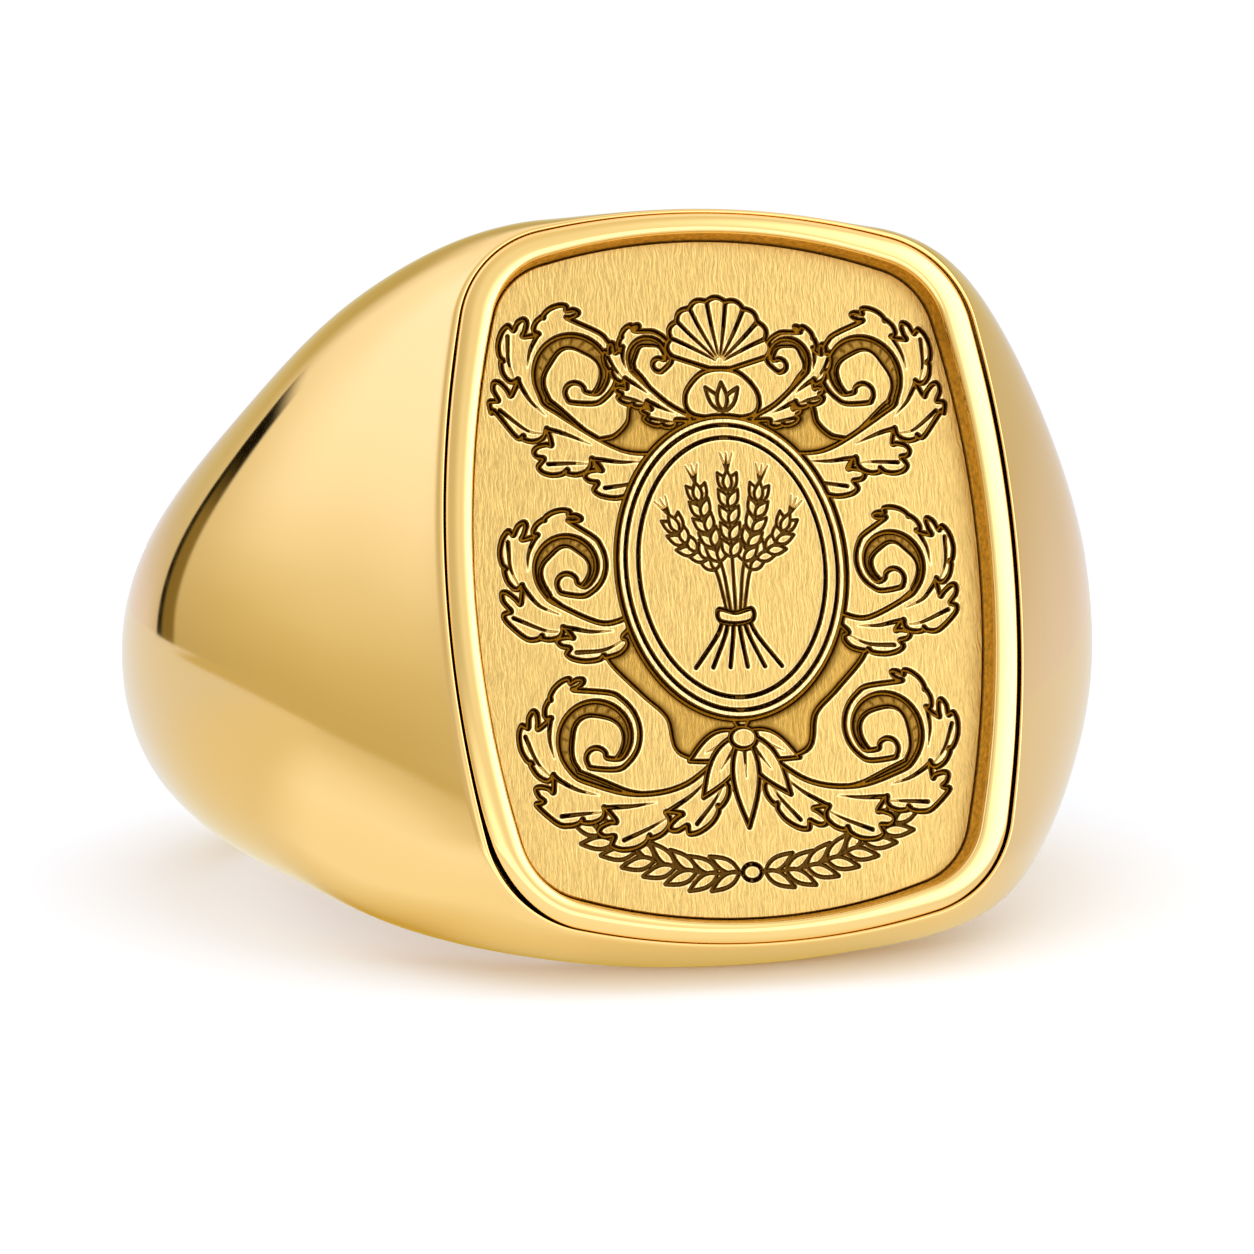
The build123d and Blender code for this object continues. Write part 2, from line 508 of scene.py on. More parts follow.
def polished(name, colour, drift, gloss, hairlines):
    """Polished gold with its own tone, gloss and depth of hairlines."""
    material, tree, shader = metal(name)
    marks = add_node(tree, "ShaderNodeGroup", node_tree=hand_polish)
    values = {"Colour": (*colour, 1), "Drift": drift, "Gloss": gloss, "Hairlines": hairlines}
    for key, value in values.items():
        marks.inputs[key].default_value = value
    bump = add_node(
        tree, "ShaderNodeBump", {"Strength": 0.15, "Distance": 0.00001, "Height": marks.outputs["Height"]}
    )
    tree.links.new(marks.outputs["Colour"], shader.inputs["Base Color"])
    tree.links.new(marks.outputs["Roughness"], shader.inputs["Roughness"])
    tree.links.new(bump.outputs[0], shader.inputs["Normal"])
    return material


# Heights where the seams' painted shade turns to its second colour, towards the top and the bottom
unshaded_ends = ((4.0, 6.0), (-7.6, -8.2))


def painted_seam_shade(name, dark, light):
    """Seam gold, rough from the cutter, with painted shade: one colour turning to another at both short
    ends.
    """
    material, tree, shader = metal(name)
    place = object_place(tree)
    grain = add_node(tree, "ShaderNodeTexNoise", {"Vector": place, "Scale": 9000.0, "Detail": 3.0})
    height = distance_along(tree, place, upwards)
    ends = [smooth_rise(tree, height, low, high) for low, high in unshaded_ends]
    tone = blend(tree, calculate(tree, "MAXIMUM", *ends), dark, light)
    strength = calculate(tree, "ADD", calculate(tree, "MULTIPLY", grain.outputs["Fac"], 1.3), 0.35)
    tree.links.new(toned(tree, tone, strength), shader.inputs["Base Color"])
    shader.inputs["Roughness"].default_value = 0.6
    return material


body_gold = polished("polished_gold", (0.88, 0.60, 0.26), 0.03, 0.065, 0.02)
# Painted shade in the seat inside the lip: near-black gold, lighter gold towards the short ends
seat_painted_shade = painted_seam_shade("painted_shade_seat", (0.03, 0.013, 0.002), (0.75, 0.48, 0.16))
shank_body.data.materials.append(body_gold)
shank_body.data.materials.append(seat_painted_shade)
for polygon in shank_body.data.polygons[seat_faces:]:
    polygon.material_index = 1
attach(shank_body, "root")
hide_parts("shank_body")

# ---------------------------------------------------------------------------------------------
# Films of solder: one under the frame and one under the plate, thin sheets of gold solder that
# ran when the pieces were heated. Only their edges could ever be seen, deep in the seams.
# ---------------------------------------------------------------------------------------------

# Their colour has the seams' painted shade: darker at mid height than at the short ends.
solder_gold = painted_seam_shade("solder", (0.5, 0.33, 0.12), (0.62, 0.42, 0.17))
for node in ("frame_solder", "plate_solder"):
    film = frame["nodes"][node]
    film.data.materials.clear()
    film.data.materials.append(solder_gold)

# ---------------------------------------------------------------------------------------------
# Bezel frame: a moulding of gold wire bent round the face and soldered on the shallow step of
# the seat. Its crest is rounded, and its inner side slopes down to a crisp edge at the plate.
# ---------------------------------------------------------------------------------------------

solder_thickness = 0.05
frame_gap = 0.03
frame_foot = frame_seat_depth - solder_thickness
# The bent wire stands off the wall of its seat at one lower corner, lies a little further out along
# the right side, and sits tight at both short ends.
corner_gap, corner_gap_place, corner_gap_reach = 0.07, np.array([-6.3, -6.9]), 1.1
right_outset, right_side_from = 0.02, 5.5
tight_fit, short_end_from, short_end_over = 0.037, 5.0, 2.0
outer_edge, outer_normals = map(all_round, cushion_quarter(rim_half, rim_corner_radius, rim_rows))
inner_edge = all_round(
    cushion_quarter(np.add(plate_half, frame_gap), plate_corner_radius + frame_gap, rim_rows)[0]
)


def moulding_section(crest):
    """Section of the moulding, with its crest at a share of its width.

    Gives shares of the way from its outer to its inner side, and heights above the front edge.
    """
    return np.vstack([
        [(0, -frame_foot), (0, -0.35), (0, -0.1)],
        bezier([(0, -0.1), (0, -0.03), (0.06, 0), (0.18, 0.045)], 12),
        bezier([(0.18, 0.045), (0.28, 0.0825), (crest - 0.12, 0.11), (crest, 0.11)], 14),
        bezier([(crest, 0.11), (0.45 * crest + 0.5, 0.11), (0.9, 0.06), (0.9, -0.03)], 18),
        [(0.965, -0.35), (0.975, -0.37), (0.985, -0.385), (1, -0.42), (1, -frame_foot)],
    ])


# The crest lies further in on the right than on the left.
left_section, right_section = moulding_section(0.5), moulding_section(0.76)
right_share = np.clip(outer_edge[:, 0] / rim_half[0], -1, 1)[:, None] / 2 + 0.5
short_ends = np.clip((np.abs(outer_edge[:, 1]) - short_end_from) / short_end_over, 0, 1)
from_corner = np.hypot(*(outer_edge - corner_gap_place).T) / corner_gap_reach
stand_off = corner_gap * np.exp(-(from_corner**2))
stand_off -= right_outset * np.clip(outer_edge[:, 0] - right_side_from, 0, 1) * (1 - short_ends)
stand_off -= tight_fit * short_ends * np.clip(from_corner - 1, 0, 1)
outer_side = outer_edge - stand_off[:, None] * outer_normals
frame_points = []
for left, right in zip(left_section, right_section):
    profile = left * (1 - right_share) + right * right_share
    inwards, lift = profile[:, :1], profile[:, 1]
    frame_points.append(on_face(outer_side * (1 - inwards) + inner_edge * inwards, lift))
frame_points = np.vstack(frame_points)
rings = np.arange(len(frame_points)).reshape(len(left_section), -1)
frame_faces = [
    face for first, second in zip(rings, np.roll(rings, -1, axis=0)) for face in strip(first, second)
]
bezel_frame = make_piece("bezel_frame_moulding", frame_points, frame_faces, 35)
frame_gold = polished("frame_gold", (0.90, 0.63, 0.27), 0.02, 0.06, 0.02)
wall_painted_shade = painted_seam_shade("frame_wall_gold", (0.74, 0.43, 0.06), (0.58, 0.31, 0.035))
bezel_frame.data.materials.append(frame_gold)
bezel_frame.data.materials.append(wall_painted_shade)
# The inner wall, down the last points of the section, has the seams' painted shade: a darker, deeper gold
# than the crest.
wall_points = 5
wall_start = len(left_section) - wall_points - 1
for polygon in bezel_frame.data.polygons[wall_start * len(outer_edge):-len(outer_edge)]:
    polygon.material_index = 1
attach(bezel_frame, "root")
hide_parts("bezel_frame")

# ---------------------------------------------------------------------------------------------
# Face plate: a cushion-shaped plate of gold that drops into the deep step, satin finished with
# fine upright strokes. An oval with a wheat sheaf, a shell, scrolling leaves and laurel are cut
# into it with a graver; the ground behind some of the leaves is cut back.
# ---------------------------------------------------------------------------------------------

# The design is drawn on a raster of places a raster_step apart, in millimetres.
raster_step = 0.02
raster_half = (6.6, 8.4)
across_places = np.arange(-raster_half[0], raster_half[0] + 1e-9, raster_step)
upward_places = np.arange(-raster_half[1], raster_half[1] + 1e-9, raster_step)
# How far each place lies inside the edge of a groove, below 0 outside, and where the ground is cut
# back. A drawn form hides what was drawn before it.
far_away = -0.3
grooves = np.full((len(across_places), len(upward_places)), far_away)
cut_back = np.zeros(grooves.shape, bool)


def curve(points, closed=False, steps=10):
    """Smooth curve through a few points."""
    points = np.asarray(points, float)
    if closed:
        padded = np.vstack([points[-1:], points, points[:2]])
    else:
        padded = np.vstack([2 * points[0] - points[1], points, 2 * points[-1] - points[-2]])
    t = np.linspace(0, 1, steps + 1)[:-1, None]
    spans = [
        b + t * (c - a) / 2 + t**2 * (2 * a - 5 * b + 4 * c - d) / 2 + t**3 * (3 * b - a - 3 * c + d) / 2
        for a, b, c, d in zip(padded[:-3], padded[1:-2], padded[2:-1], padded[3:])
    ]
    return np.vstack(spans if closed else [*spans, points[-1:]])


def along(line, places):
    """Points on a line at shares of its length, and unit vectors ahead and to the right there."""
    lengths = np.concatenate([[0], np.cumsum(np.hypot(*np.diff(line, axis=0).T))])

    def at(distance):
        return np.column_stack([np.interp(distance, lengths, line[:, k]) for k in (0, 1)])

    wanted = np.asarray(places) * lengths[-1]
    step = min(0.08, lengths[-1] / 10)
    ahead = at(np.minimum(wanted + step, lengths[-1])) - at(np.maximum(wanted - step, 0))
    ahead /= np.hypot(*ahead.T)[:, None]
    return at(wanted), ahead, np.column_stack([ahead[:, 1], -ahead[:, 0]])


def beside(line, places, out):
    """Points to the right of a line, by distances out, at shares of its length."""
    points, _, right = along(line, places)
    return points + right * np.reshape(out, (-1, 1))


def engrave(line, *half_widths):
    """Cut a groove along a line. Its half widths run evenly from the line's start to its end."""
    line = np.asarray(line, float)
    places = np.linspace(0, 1, int(np.hypot(*np.diff(line, axis=0).T).sum() / 0.012) + 2)
    points, _, _ = along(line, places)
    widths = np.interp(places, np.linspace(0, 1, len(half_widths)), half_widths)
    # Each point reaches the raster places in a square round it.
    window = np.arange(-11, 12)
    cells = np.rint((points + raster_half) / raster_step).astype(int)
    column = np.clip(cells[:, 0, None, None] + window[:, None], 0, len(across_places) - 1)
    row = np.clip(cells[:, 1, None, None] + window, 0, len(upward_places) - 1)
    column, row = np.broadcast_arrays(column, row)
    away = np.hypot(
        across_places[column] - points[:, 0, None, None], upward_places[row] - points[:, 1, None, None]
    )
    np.maximum.at(grooves, (column, row), widths[:, None, None] - away)


def form(outline, half_width=0.065, sunk=False):
    """Draw a closed form over what is there: its inside is plain, with a groove round it."""
    outline = np.asarray(outline, float)
    low = ((outline.min(axis=0) + raster_half) / raster_step).astype(int)
    high = ((outline.max(axis=0) + raster_half) / raster_step).astype(int) + 2
    box = slice(max(low[0], 0), high[0]), slice(max(low[1], 0), high[1])
    x, y = across_places[box[0]][:, None], upward_places[box[1]]
    turns = np.zeros((len(x), len(y)), int)
    for (x0, y0), (x1, y1) in zip(outline, np.roll(outline, -1, axis=0)):
        if y0 != y1:
            crossed = ((y0 > y) != (y1 > y)) & (x < (x1 - x0) * (y - y0) / (y1 - y0) + x0)
            turns += crossed * (1 if y1 > y0 else -1)
    grooves[box][turns != 0] = far_away
    cut_back[box][turns != 0] = sunk
    engrave(np.vstack([outline, outline[:1]]), half_width, half_width)


def oval(centre, half):
    """Outline of an oval."""
    turns = np.linspace(0, 2 * pi, 121)[:-1]
    return np.column_stack([centre[0] + half[0] * np.cos(turns), centre[1] + half[1] * np.sin(turns)])


def blade(base, tip, width, half_width=0.045):
    """Small pointed leaf or grain, from its base to its tip."""
    base, tip = np.asarray(base), np.asarray(tip)
    t = np.linspace(0, 1, 14)
    swell = width * np.sin(pi * t**0.8)
    line = np.array([base, tip])
    form(np.vstack([beside(line, t, swell), beside(line, t, -swell)[-2:0:-1]]), half_width)


def volute(centre, radius, start, end, tightening=0.5):
    """Points on a spiral that turns to the left, between two bearings in degrees."""
    turns = np.radians(np.arange(start, end + 1, 15))
    radii = radius * (1 - tightening * np.linspace(0, 1, len(turns)))
    return np.asarray(centre) + np.column_stack([radii * np.cos(turns), radii * np.sin(turns)])


# One finger of a scrolling leaf: places along the finger's span, and outwards as shares of its width
finger = np.array([
    (0.0, 0.3), (-0.1, 0.45), (-0.15, 0.62), (-0.1, 0.78), (0.02, 0.85), (0.08, 0.78), (0.06, 0.92),
    (0.14, 1.06), (0.28, 1.12), (0.42, 1.07), (0.48, 0.93), (0.52, 0.84), (0.62, 0.9), (0.74, 0.84),
    (0.79, 0.7), (0.74, 0.56), (0.68, 0.5),
])
finger_lean = 0.45


def scroll(spine, width, fingers, fold, body=0.17, curl=0.26):
    """Scrolling leaf along a spine: fingers on its right, and a round curl at its end.

    body is the leaf's width on the left of the spine, fold the width of its underside, cut back,
    that shows there, and curl the radius of the round end.
    """
    spine = curve(spine, steps=14)
    starts = 0.08 + 0.62 * (1 - (1 - np.arange(fingers + 1) / fingers) ** 1.15)
    spans = np.diff(starts)
    sizes = width * (1 - 0.55 * (np.arange(fingers) / (fingers - 1)) ** 1.5)
    sizes[0] *= 0.8
    lean = finger_lean * (finger[:, 1] - finger[0, 1])
    outer = [
        beside(spine, np.minimum(start + span * (finger[:, 0] + lean), 0.97), finger[:, 1] * size)
        for start, span, size in zip(starts, spans, sizes)
    ]
    rest = np.linspace(starts[-1] + 0.05, 0.95, 8)
    neck = beside(spine, rest, np.linspace(0.28 * sizes[-1], curl / 2, 8))
    tip, ahead, right = along(spine, [1.0])
    turns = np.radians(np.linspace(80, -160, 9))[:, None]
    ball = tip + curl * ((np.sin(turns) - 0.55) * right + np.cos(turns) * ahead)
    t = np.linspace(0.04, 0.93, 26)
    inner = beside(spine, t, -body * np.sqrt(np.sin(pi * t**0.6)))
    t = np.linspace(0, 1, 120)
    waves = 0.9 + 0.1 * np.cos(8 * pi * t)
    under = body / 2 + (fold + body / 2) * np.sin(pi * t**1.4) ** 0.8 * waves
    t = 0.16 + 0.79 * t
    underside = [beside(spine, t, np.full_like(t, -0.05)), beside(spine, t, -under)[::-1]]
    form(np.vstack(underside), 0.055, sunk=True)
    for place, depth in zip(t[8:-8:6], under[8:-8:6]):
        engrave(beside(spine, [place, place - 0.012], [-0.4 * body, -0.75 * depth]), 0.04, 0)
    form(curve(np.vstack([spine[:1], *outer, neck, ball, inner[::-1]]), closed=True, steps=6))
    for start, span, size in zip(starts, spans, sizes):
        if start > starts[0]:
            places = start + span * np.array([0, -0.2, -0.5, -0.9])
            vein = beside(spine, places, size * np.array([0.32, 0.22, 0.13, 0.06]))
            engrave(curve(vein), 0.06, 0.05, 0.03, 0)
        if size > width / 2:
            places = np.minimum(start + span * np.array([0.64, 0.29, -0.06]), 1)
            engrave(curve(beside(spine, places, size * np.array([0.9, 0.62, 0.4]))), 0.05, 0.035, 0)


def shell(centre, radius, ribs, spread):
    """Scallop shell that opens upwards."""
    centre = np.array(centre)
    turns = np.radians(90 + np.linspace(-spread, spread, ribs * 8 + 1))
    heading = np.column_stack([np.cos(turns), 0.95 * np.sin(turns)])
    wave = 1 + 0.075 * np.abs(np.sin(np.linspace(0, ribs * pi, len(turns))))
    fan = centre + radius * wave[:, None] * heading
    form(np.vstack([fan, centre + (-0.28, -0.55), centre + (0.28, -0.55)]))
    for end in heading[8:-8:8]:
        base = centre + end * 0.12 + (0, -0.35)
        middle = (base + centre + end * radius) / 2 + (0.12 * end[0], 0.08)
        engrave(curve([centre + end * radius, middle, base]), 0.055, 0.045, 0.02)


def ear(stalk, pairs, size):
    """Ear of wheat: pairs of grains up the stalk, a last grain and its beard."""
    engrave(stalk, 0.04, 0.035)
    points, ahead, right = along(stalk, np.linspace(0.42, 0.94, pairs))
    for point, up, aside in zip(points, ahead, right):
        for side in (-0.55, 0.55):
            blade(point, point + size * (up + side * aside), size * 0.27, 0.035)
    blade(point, point + 1.15 * size * up, size * 0.25, 0.035)
    for side in (-0.35, 0, 0.35):
        engrave([point + 1.1 * size * up, point + size * (2.1 * up + side * aside)], 0.035, 0.01)


# Right half of the design, from the back to the front: cut ground, laurel and scrolling leaves
upper_ground = [(0.9, 3.6), (1.6, 4.2), (2.3, 4.3), (2.45, 3.85), (2.8, 3.5), (3.4, 3.25), (2.8, 2.2)]
lower_ground = [
    (2.2, -1.6), (3.1, -1.4), (3.3, -2.0), (2.5, -2.9), (1.9, -3.5), (1.6, -4.4), (0.2, -4.6), (0.2, -3.6),
]
for ground in (upper_ground, lower_ground):
    form(curve(ground, closed=True), sunk=True)
laurel = curve([(0.1, -7.35), (1.3, -7.3), (2.6, -6.9), (3.9, -6.2)])
engrave(laurel, 0.045, 0.03)
for point, ahead, right in zip(*along(laurel, np.linspace(0.06, 0.86, 7))):
    for side in (-0.42, 0.42):
        blade(point, point + 0.72 * ahead + side * right, 0.15)
blade(point + 0.4 * ahead, point + 1.2 * ahead, 0.15)
scroll([(0.2, -4.3), (1.5, -5.3), (2.9, -5.5), *volute((3.6, -3.95), 1.3, -60, 290)], 1.15, 5, 0.34)
scroll([(2.4, -1.0), (3.4, -1.3), *volute((4.1, 0.25), 1.15, -60, 290)], 1.0, 4, 0.28)
scroll([(1.2, 3.0), (2.7, 3.0), *volute((3.65, 5.1), 1.35, -50, 290)], 1.25, 5, 0.36)
scroll([(0.8, 3.9), (1.5, 4.25), *volute((1.75, 5.5), 0.75, -40, 230)], 0.65, 4, 0.18, 0.12, 0.17)
centre_column = len(across_places) // 2
for raster in (grooves, cut_back):
    raster[:centre_column] = raster[:centre_column:-1]

# Middle of the design: shell, cup with three leaves, oval with a wheat sheaf, palmette and bead
shell((0, 5.75), 1.25, 9, 102)
cup = [(-0.55, 5.05), (0, 5.2), (0.55, 5.05), (0.95, 4.5), (0.7, 4.0), (-0.7, 4.0), (-0.95, 4.5)]
form(curve(cup, closed=True))
for aside in (-0.42, 0.42, 0):
    blade((0, 4.12), (aside, 4.85 - 0.3 * abs(aside)), 0.13)
oval_centre = (0, 0.2)
form(oval(oval_centre, (2.95, 3.8)), 0.07)
for ring_half in ((2.72, 3.57), (2.4, 3.25)):
    engrave(np.vstack([oval(oval_centre, ring_half), [(ring_half[0], oval_centre[1])]]), 0.05, 0.05)
for aside, tip in ((-1.4, 1.2), (1.4, 1.2), (-0.78, 2.0), (0.78, 2.0), (0, 2.3)):
    stalk = curve([(aside * 0.16, -0.9), (aside * 0.35, 0.2), (aside * 0.8, tip * 0.62), (aside, tip)])
    ear(stalk, 5, 0.45)
for aside in (-1.0, -0.6, -0.2, 0.2, 0.6, 1.0):
    engrave(curve([(aside * 0.3, -1.0), (aside * 0.5, -1.5), (aside * 1.1, -2.3)]), 0.05, 0.05)
sheaf_tie = [(-0.42, -0.86), (0, -0.95), (0.42, -0.86), (0.42, -1.14), (0, -1.23), (-0.42, -1.14)]
form(curve(sheaf_tie, closed=True), 0.055)
palmette = np.array([0, -3.95])
for lean, length in ((-66, 1.55), (66, 1.55), (-36, 1.9), (36, 1.9), (0, 2.3)):
    heading = np.array([sin(radians(lean)), -cos(radians(lean))])
    blade(palmette, palmette + length * heading, 0.34, 0.06)
    engrave(palmette + [0.4 * heading, 1.1 * heading], 0.045, 0)
form(oval((0, -4.05), (0.34, 0.28)), 0.06)
form(oval((0, -7.35), (0.24, 0.2)), 0.05)


def contours(field, level):
    """Closed outlines of where a raster passes a level: each is a loop of points."""
    above = field > level
    turns_across, turns_upward = above[:-1] != above[1:], above[:, :-1] != above[:, 1:]
    rows = field.shape[1]
    # Each place where the level crosses a line between two raster places gets a number.
    column, row = np.nonzero(turns_across)
    share = (level - field[column, row]) / (field[column + 1, row] - field[column, row])
    places = dict(zip((2 * (column * rows + row)).tolist(), zip(column + share, row)))
    column, row = np.nonzero(turns_upward)
    share = (level - field[column, row]) / (field[column, row + 1] - field[column, row])
    places.update(zip((2 * (column * rows + row) + 1).tolist(), zip(column, row + share)))
    below, over = turns_across[:, :-1], turns_across[:, 1:]
    left, right = turns_upward[:-1], turns_upward[1:]
    links = {}
    for column, row in zip(*(index.tolist() for index in np.nonzero(below | over | left | right))):
        sides = [
            (below[column, row], 2 * (column * rows + row)),
            (left[column, row], 2 * (column * rows + row) + 1),
            (over[column, row], 2 * (column * rows + row + 1)),
            (right[column, row], 2 * ((column + 1) * rows + row) + 1),
        ]
        crossed = [crossing for is_crossed, crossing in sides if is_crossed]
        for first, second in zip(crossed[::2], crossed[1::2]):
            links.setdefault(first, []).append(second)
            links.setdefault(second, []).append(first)
    loops = []
    while links:
        start, (following, _) = links.popitem()
        loop, previous = [start], start
        while following != start:
            loop.append(following)
            neighbours = links.pop(following)
            previous, following = following, neighbours[neighbours[0] == previous]
        loops.append(np.array([places[crossing] for crossing in loop]) * raster_step - raster_half)
    return loops


def thinned(loop, tolerance, longest):
    """The loop with only those points that its shape needs."""
    loop = np.vstack([loop, loop[:1]])
    half = len(loop) // 2
    keep, spans = {0, half}, [(0, half), (half, len(loop) - 1)]
    while spans:
        first, last = spans.pop()
        run, inner = loop[last] - loop[first], loop[first + 1 : last] - loop[first]
        if len(inner) == 0:
            continue
        length = np.hypot(*run)
        away = np.abs(inner @ (run[1], -run[0])) / length if length else np.hypot(*inner.T)
        if away.max() < tolerance and length < longest:
            continue
        middle = first + 1 + int(away.argmax()) if away.max() >= tolerance else (first + last) // 2
        keep.add(middle)
        spans += [(first, middle), (middle, last)]
    return loop[sorted(keep)]


# The plate's top is a net of triangles over the contours of the grooves. Across a groove the gold
# first rises to a fine burr, then falls over a steep wall to a floor. Heights are in millimetres.
groove_levels = (-0.15, -0.055, -0.018, 0.0, 0.02, 0.045)
flush_heights = (0.0, 0.0, 0.008, -0.015, -0.08, -0.13)
sunk_heights = (-0.05, -0.06, -0.07, -0.075, -0.1, -0.13)
# The design is drawn a little larger than it is cut.
design_size = np.array([0.95, 0.94])
plate_bevel = 0.03
plate_thickness = 0.9
plate_foot = plate_depth + plate_thickness
plate_rows = (40, 14, 30)


def raster_numbers(points):
    """Column and row of the raster place next to each point of the plate."""
    cells = np.rint((np.asarray(points) / design_size + raster_half) / raster_step).astype(int)
    return np.minimum(cells, np.array(grooves.shape) - 1).T


top_edge, _ = cushion_quarter(
    np.subtract(plate_half, plate_bevel), plate_corner_radius - plate_bevel, plate_rows
)
top_edge = all_round(top_edge)
net_points, net_edges, net_levels = [top_edge], [], [np.full(len(top_edge), far_away)]
net_count = len(top_edge)
for groove_level in groove_levels:
    for loop in contours(grooves, groove_level):
        loop = thinned(loop, 0.0025, 0.3) * design_size
        # The outermost level only shapes the edge of the ground that is cut back.
        if groove_level == groove_levels[0] and not cut_back[tuple(raster_numbers(loop))].all():
            continue
        numbers = net_count + np.arange(len(loop))
        net_edges += zip(numbers.tolist(), np.roll(numbers, -1).tolist())
        net_points.append(loop)
        net_levels.append(np.full(len(loop), groove_level))
        net_count += len(loop)
net_levels = np.concatenate(net_levels)
net = delaunay_2d_cdt([Vector(point) for point in np.vstack(net_points)], net_edges, [], 0, 1e-7)
top_points = np.array([tuple(point) for point in net[0]])
column, row = raster_numbers(top_points)
top_levels = np.array([
    net_levels[origin[0]] if origin else field_level
    for origin, field_level in zip(net[3], grooves[column, row])
])
top_heights = np.where(
    cut_back[column, row],
    np.interp(top_levels, groove_levels, sunk_heights), np.interp(top_levels, groove_levels, flush_heights),
)
plate_points = on_face(top_points, top_heights - plate_depth)
plate_faces = [tuple(face) for face in net[2]]
net_place = {origin[0]: place for place, origin in enumerate(net[3]) if origin}
previous = np.array([net_place[origin] for origin in range(len(top_edge))])
lower_edge = all_round(cushion_quarter(plate_half, plate_corner_radius, plate_rows)[0])
for loop in (
    on_face(lower_edge, -plate_depth - plate_bevel), on_face(lower_edge, -plate_foot),
    on_face(lower_edge / 2, -plate_foot),
):
    following = len(plate_points) + np.arange(len(loop))
    plate_points = np.vstack([plate_points, loop])
    plate_faces += strip(following, previous)
    previous = following
plate_faces += [(b, a, len(plate_points)) for a, b in zip(previous, np.roll(previous, -1))]
plate_points = np.vstack([plate_points, on_face(np.zeros((1, 2)), -plate_foot)])
face_plate = make_piece("face_plate_engraved", plate_points, plate_faces, 50)
# Level places are shaded flat, so that they stay even up to the grooves.
for polygon in face_plate.data.polygons:
    depths = plate_points[list(polygon.vertices), 1]
    polygon.use_smooth = bool(np.ptp(depths) > 0.0001)

engraved_gold, tree, shader = metal("engraved_gold")
shaded_place = object_place(tree)
sideways, upright, front = (
    distance_along(tree, shaded_place, direction) for direction in (across, upwards, -backwards)
)
depth = calculate(tree, "SUBTRACT", front, face_distance - plate_depth)


def noise(aside, aside_grains, upright_grains, detail):
    """Noise between about 0.3 and 0.7, with so many grains to a millimetre aside and upright."""
    where = add_node(tree, "ShaderNodeCombineXYZ", {
        "X": product(tree, aside, aside_grains), "Y": product(tree, upright, upright_grains),
    }).outputs[0]
    return add_node(
        tree, "ShaderNodeTexNoise", {"Vector": where, "Scale": 1.0, "Detail": detail, "Roughness": 0.5}
    ).outputs["Fac"]


# Strokes of the satin finish: upright, a little wavy and short, about a fifteenth of a millimetre wide
sway = product(tree, noise(sideways, 1.6, 1.1, 2.0), 0.3)
swayed = calculate(tree, "ADD", sideways, sway)
strokes = noise(swayed, 15.0, 2.0, 2.0)
fine_strokes = noise(swayed, 34.0, 7.0, 3.0)


def colour_ramp(tree, value, low, high, stops, interpolation="LINEAR"):
    """Colour over a value from low to high. Each stop is a value, red, green and blue."""
    share = calculate(tree, "DIVIDE", calculate(tree, "SUBTRACT", value, low), high - low)
    node = add_node(tree, "ShaderNodeValToRGB", {"Fac": share})
    ramp = node.color_ramp
    ramp.interpolation = interpolation
    while len(ramp.elements) < len(stops):
        ramp.elements.new(1.0)
    for element, (stop, *colour) in zip(ramp.elements, stops):
        element.position = (stop - low) / (high - low)
        element.color = (*colour, 1)
    return node.outputs["Color"]


# Colour over depth, from the floor of the grooves up to the burr: dark patina with painted shade in the
# grooves and on the cut-back ground, darkest on the groove walls and floors, and a painted highlight
# on the burr, which is paler than the ground
patina_shade_and_burr_highlight = colour_ramp(tree, depth, -0.14, 0.02, [
    (-0.135, 0.25, 0.105, 0.006), (-0.115, 0.055, 0.022, 0.002), (-0.085, 0.045, 0.018, 0.002),
    (-0.065, 0.2, 0.1, 0.015), (-0.05, 0.44, 0.26, 0.06), (-0.03, 0.2, 0.1, 0.012),
    (-0.01, 0.49, 0.31, 0.09), (0.0, 0.6, 0.405, 0.145), (0.006, 0.84, 0.66, 0.34),
])
mottle = calculate(tree, "ADD", product(tree, strokes, 0.6), 0.45)
mottle = calculate(tree, "ADD", product(tree, fine_strokes, 0.6), mottle)
grain = calculate(tree, "ADD", strokes, product(tree, fine_strokes, 0.35))
bump = add_node(tree, "ShaderNodeBump", {"Strength": 0.6, "Distance": 0.00003, "Height": grain})
rough = add_node(
    tree, "ShaderNodeMapRange",
    {"Value": fine_strokes, "From Min": 0.3, "From Max": 0.7, "To Min": 0.3, "To Max": 0.42},
)
tree.links.new(toned(tree, patina_shade_and_burr_highlight, mottle), shader.inputs["Base Color"])
tree.links.new(rough.outputs[0], shader.inputs["Roughness"])
tree.links.new(bump.outputs[0], shader.inputs["Normal"])
face_plate.data.materials.append(engraved_gold)
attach(face_plate, "root")
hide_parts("face_plate")

# ---------------------------------------------------------------------------------------------
# Table: a round board painted matt white. The ring rests on it with the edge of its head and the
# edge of its band. What the polished gold mirrors of it is a painted reflection: to glossy rays the
# board is nearly black and glows with painted shade and light.
# ---------------------------------------------------------------------------------------------

